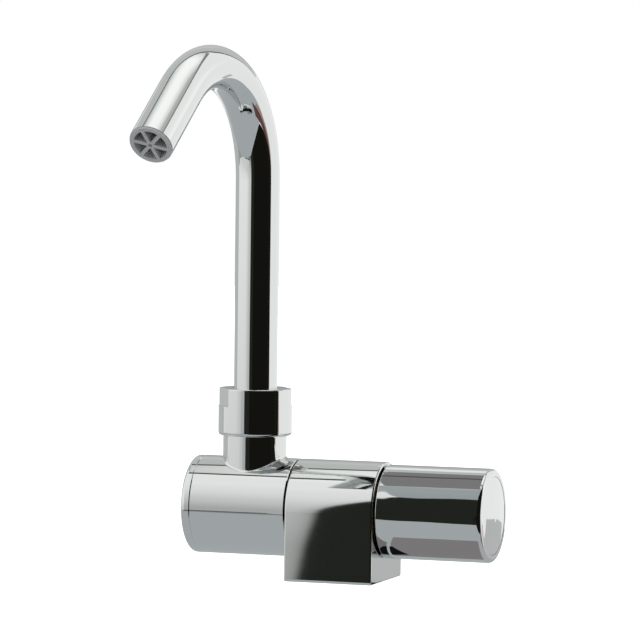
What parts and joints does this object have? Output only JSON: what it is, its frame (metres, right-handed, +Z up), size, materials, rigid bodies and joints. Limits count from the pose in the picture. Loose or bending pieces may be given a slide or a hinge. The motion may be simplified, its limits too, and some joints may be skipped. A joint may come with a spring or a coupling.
{
  "type": "folding caravan tap",
  "caption": "Chromed fold-down tap for a caravan sink: a swan-neck spout on a folding, swivelling barrel, a square foot and a quarter-turn knob.",
  "frame": {"origin": "centre of the inlet hole's mouth, in the middle of the foot's underside", "axes": "+Z up along the riser, +X towards the control knob, the spout hooks over towards -Y"},
  "size_m": [0.1148, 0.1115, 0.1938],
  "materials": {
    "chrome": "polished",
    "brass": "machined",
    "steel": "satin",
    "rubber": "matte",
    "acetal": "matte",
    "ceramic": "lapped",
    "grey_plastic": "satin"
  },
  "bodies": {
    "body": {"tap_body": "chrome", "foot_seal": "rubber", "pivot_spindle": "brass", "pivot_seals": "rubber", "inner_thrust_washer": "acetal", "outer_thrust_washer": "acetal", "retaining_washer": "brass", "retaining_screw": "steel", "stop_pin": "steel", "cartridge_body": "brass", "cartridge_seal": "rubber", "seat_seal": "rubber", "fixed_disc": "ceramic"},
    "barrel": {"swivel_barrel": "chrome", "barrel_end_cap": "chrome", "end_cap_seal": "rubber", "union_nut": "chrome", "slip_ring": "acetal"},
    "spout": {"spout_tube": "chrome", "spout_ferrule": "brass", "spout_seals": "rubber", "flow_straightener": "grey_plastic"},
    "knob": {"turning_disc": "ceramic", "valve_spindle": "brass", "stem_seals": "rubber", "spindle_clip": "steel", "knob_insert": "acetal", "control_knob": "chrome", "knob_screw": "steel", "knob_cap": "chrome"}
  },
  "joints": [
    {"name": "fold", "type": "hinge", "parent": "body", "child": "barrel", "pos_m": [-0.0346, 0, 0.02545], "axis": [1, 0, 0], "range_deg": [0, 90]},
    {"name": "spout_swivel", "type": "hinge", "parent": "barrel", "child": "spout", "pos_m": [-0.0346, 0, 0.06], "axis": [0, 0, 1], "continuous": true},
    {"name": "knob_turn", "type": "hinge", "parent": "body", "child": "knob", "pos_m": [0.0167, 0, 0.02545], "axis": [1, 0, 0], "range_deg": [0, 90]}
  ]
}
